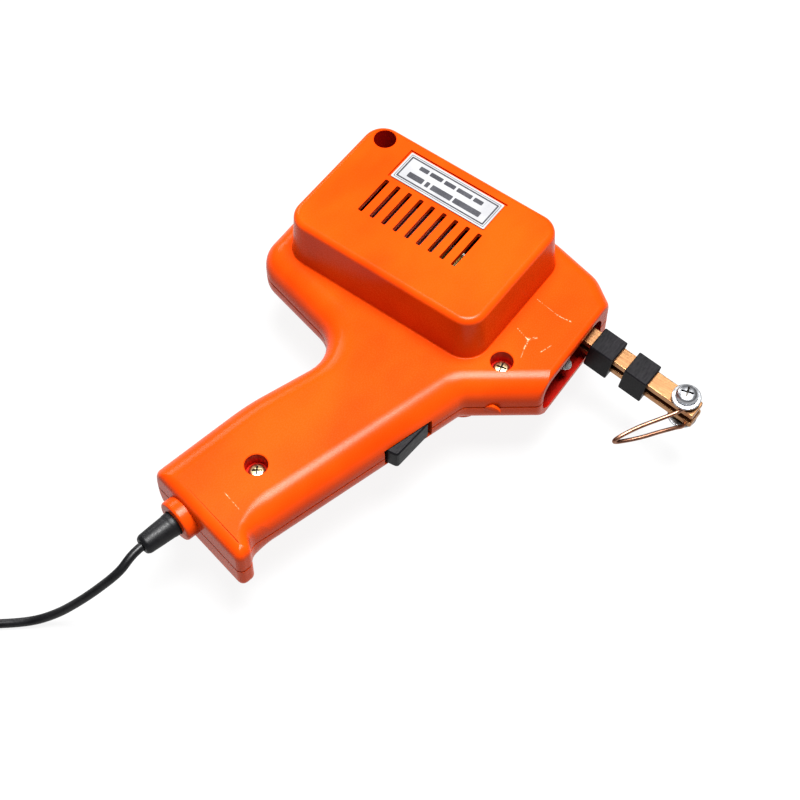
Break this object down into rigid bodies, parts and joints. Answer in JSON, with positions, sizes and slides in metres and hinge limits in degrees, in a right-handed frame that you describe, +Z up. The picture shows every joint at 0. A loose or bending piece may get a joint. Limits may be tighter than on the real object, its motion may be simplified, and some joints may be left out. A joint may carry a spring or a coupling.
{
  "type": "transformer soldering gun",
  "caption": "Orange pistol-shaped transformer soldering gun with square transformer boxes, vent slots, copper bars, a wire tip, a black trigger and a mains lead.",
  "frame": {"origin": "centre of the lower transformer box's flat outer face, which rests on the floor", "axes": "+Z up, square to the case's parting plane and towards the side with the screws and the label; +X along the copper bars to the tip; +Y to the gun's top, away from the handle"},
  "size_m": [0.2077, 0.3925, 0.066],
  "materials": {
    "orange_plastic": "gloss, lightly scuffed",
    "black_plastic": "satin",
    "white_plastic": "satin",
    "label_film": "satin",
    "yellow_tape": "satin",
    "wire_insulation": "gloss",
    "black_pvc": "satin",
    "black_rubber": "matt",
    "brass": "dull",
    "nickel_brass": "bright",
    "zinc_steel": "bright zinc",
    "core_steel": "dull",
    "copper": "brushed",
    "enamelled_copper": "enamelled",
    "lamp_glass": "clear"
  },
  "bodies": {
    "gun": {"upper_shell": "orange_plastic", "lower_shell": "orange_plastic", "rating_label": "label_film", "case_screw_box": "brass", "case_screw_nose": "brass", "case_screw_handle": "brass", "core_e_stack": "core_steel", "core_i_stack": "core_steel", "bobbin": "white_plastic", "primary_winding": "enamelled_copper", "winding_tape": "yellow_tape", "secondary_turn": "copper", "rear_bar_block": "black_plastic", "front_bar_block": "black_plastic", "tip_screw_upper": "zinc_steel", "tip_screw_lower": "zinc_steel", "tip_washer_upper": "zinc_steel", "tip_washer_lower": "zinc_steel", "tip_wire": "copper", "lamp_bulb": "lamp_glass", "lamp_holder": "black_plastic", "trigger_pin": "zinc_steel", "switch_body": "black_plastic", "switch_terminal_1": "brass", "switch_terminal_2": "brass", "live_core": "wire_insulation", "neutral_core": "wire_insulation", "switched_core": "wire_insulation", "lamp_lead_1": "wire_insulation", "lamp_lead_2": "wire_insulation", "strain_relief": "black_rubber", "cord_clamp": "white_plastic", "clamp_screw_1": "zinc_steel", "clamp_screw_2": "zinc_steel", "power_cord": "black_pvc", "cord_coil": "black_pvc", "cord_tail": "black_pvc", "plug_body": "black_rubber", "plug_pin_1": "nickel_brass", "plug_pin_2": "nickel_brass"},
    "trigger_part": {"trigger": "black_plastic"},
    "plunger_part": {"switch_plunger": "white_plastic"}
  },
  "joints": [
    {"name": "trigger_press", "type": "hinge", "parent": "gun", "child": "trigger_part", "pos_m": [0.0364, -0.05515, 0.033], "axis": [0, 0, -1], "range_deg": [0, 11], "stiffness_Nm_per_rad": 0.05, "springref_deg": -2.86},
    {"name": "plunger_slide", "type": "slide", "parent": "gun", "child": "plunger_part", "axis": [-0.9621, 0.2728, 0], "range_m": [0, 0.0024]}
  ],
  "couplings": [
    {"joint": "plunger_slide", "follows": "trigger_press", "m_per_rad": 0.0125}
  ]
}
